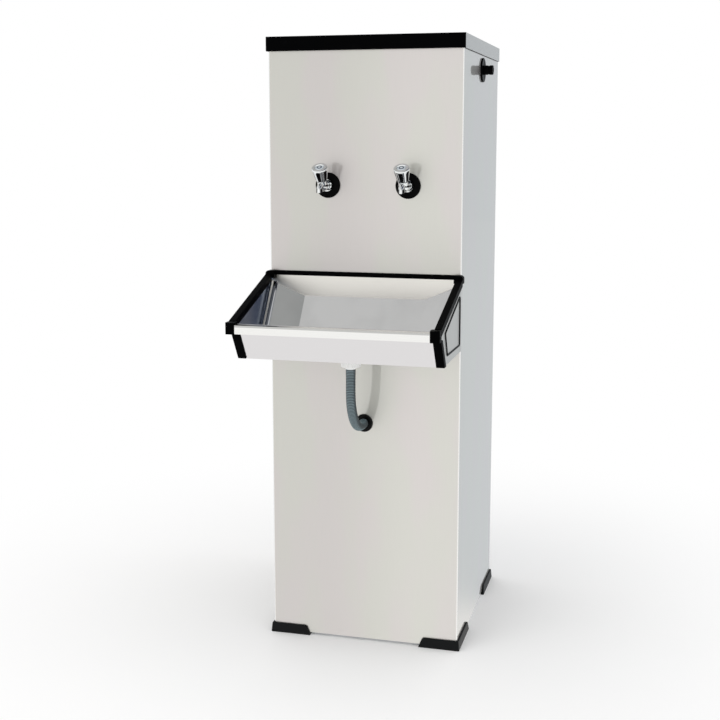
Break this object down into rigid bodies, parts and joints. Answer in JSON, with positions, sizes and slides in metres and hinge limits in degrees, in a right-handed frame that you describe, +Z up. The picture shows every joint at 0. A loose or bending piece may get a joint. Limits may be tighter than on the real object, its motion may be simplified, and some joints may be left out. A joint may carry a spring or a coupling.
{
  "type": "industrial water cooler",
  "caption": "Floor-standing stainless water cooler with leaning fluted screw-down taps over a sloping drip basin on a ribbed drain hose, with tank, float valve and cooling unit.",
  "frame": {"origin": "on the floor under the middle of the cabinet footprint", "axes": "+Z up, the front faces -Y, +X is the viewer's right"},
  "size_m": [0.461, 0.7658, 1.35],
  "materials": {
    "stainless_sheet": "satin stainless sheet",
    "basin_sheet": "bright stainless sheet",
    "zinc_sheet": "zinc-coated steel sheet",
    "black_trim": "satin black plastic edging",
    "black_foot": "satin black plastic",
    "black_gloss": "glossy black plastic",
    "tap_chrome": "polished chrome",
    "knob_button": "pale grey-blue button",
    "brass": "plain brass",
    "black_rubber": "black rubber",
    "white_plastic": "white plastic",
    "hose_grey": "ribbed grey-blue plastic hose",
    "dark_plastic": "dark plastic",
    "foam": "pale insulating foam",
    "copper_tube": "copper tube",
    "compressor_shell": "black painted shell",
    "fin_aluminium": "aluminium fins",
    "motor_steel": "grey motor housing"
  },
  "bodies": {
    "cabinet": {"cabinet_shell": "stainless_sheet", "rear_panel": "zinc_sheet", "base_tray": "zinc_sheet", "tank_shelf": "zinc_sheet", "corner_feet": "black_foot", "top_lid": "stainless_sheet", "lid_front_trim": "black_trim", "panel_screws": "zinc_sheet", "tap_rosette_left": "black_gloss", "tap_rosette_right": "black_gloss", "tap_body_left": "tap_chrome", "tap_body_right": "tap_chrome", "tap_bonnet_left": "tap_chrome", "tap_bonnet_right": "tap_chrome", "tap_backnuts": "brass", "basin_bowl": "basin_sheet", "basin_cheek_left": "basin_sheet", "basin_cheek_right": "basin_sheet", "basin_trim_left": "black_trim", "basin_trim_right": "black_trim", "basin_trim_back": "black_trim", "basin_corner_caps": "black_trim", "basin_edge_strips": "black_trim", "basin_nuts": "zinc_sheet", "drain_strainer": "basin_sheet", "drain_body": "white_plastic", "drain_gasket": "black_rubber", "drain_nut": "white_plastic", "drain_hose": "hose_grey", "hose_grommet": "black_gloss", "drain_pipe": "white_plastic", "drain_outlet": "white_plastic", "inlet_flange": "black_gloss", "float_valve": "black_gloss", "inlet_nut": "dark_plastic", "tank": "white_plastic", "tank_foam": "foam", "tank_cover": "white_plastic", "evaporator_coil": "copper_tube", "compressor": "compressor_shell", "compressor_mounts": "black_rubber", "condenser": "fin_aluminium", "fan_motor": "motor_steel", "refrigerant_lines": "copper_tube", "thermostat": "dark_plastic", "cable_gland": "black_gloss"},
    "tap_left_jumper": {"tap_jumper_left": "brass", "tap_washer_left": "black_rubber"},
    "tap_left_handle": {"tap_spindle_left": "brass", "tap_knob_left": "tap_chrome", "tap_cap_left": "knob_button"},
    "tap_right_jumper": {"tap_jumper_right": "brass", "tap_washer_right": "black_rubber"},
    "tap_right_handle": {"tap_spindle_right": "brass", "tap_knob_right": "tap_chrome", "tap_cap_right": "knob_button"},
    "float": {"float_arm": "brass", "float_ball": "white_plastic"},
    "fan": {"fan_blade": "dark_plastic"},
    "thermostat_dial": {"thermostat_knob": "black_gloss"}
  },
  "joints": [
    {"name": "tap_left_lift", "type": "slide", "parent": "cabinet", "child": "tap_left_jumper", "axis": [0, -0.5299, 0.848], "range_m": [0, 0.0024]},
    {"name": "tap_left_turn", "type": "hinge", "parent": "tap_left_jumper", "child": "tap_left_handle", "pos_m": [-0.081, -0.276, 1.033], "axis": [0, -0.5299, 0.848], "range_deg": [0, 540]},
    {"name": "tap_right_lift", "type": "slide", "parent": "cabinet", "child": "tap_right_jumper", "axis": [0, -0.5299, 0.848], "range_m": [0, 0.0024]},
    {"name": "tap_right_turn", "type": "hinge", "parent": "tap_right_jumper", "child": "tap_right_handle", "pos_m": [0.097, -0.276, 1.033], "axis": [0, -0.5299, 0.848], "range_deg": [0, 540]},
    {"name": "float_swing", "type": "hinge", "parent": "cabinet", "child": "float", "pos_m": [0.1497, 0, 1.264], "axis": [0, 1, 0], "range_deg": [0, 42]},
    {"name": "fan_spin", "type": "hinge", "parent": "cabinet", "child": "fan", "pos_m": [0.02, 0.137, 0.1352], "axis": [0, 1, 0], "continuous": true},
    {"name": "thermostat_turn", "type": "hinge", "parent": "cabinet", "child": "thermostat_dial", "pos_m": [0.13, 0.235, 0.48], "axis": [0, 1, 0], "range_deg": [0, 270]}
  ],
  "couplings": [
    {"joint": "tap_left_turn", "follows": "tap_left_lift", "rad_per_m": 3927},
    {"joint": "tap_right_turn", "follows": "tap_right_lift", "rad_per_m": 3927}
  ]
}
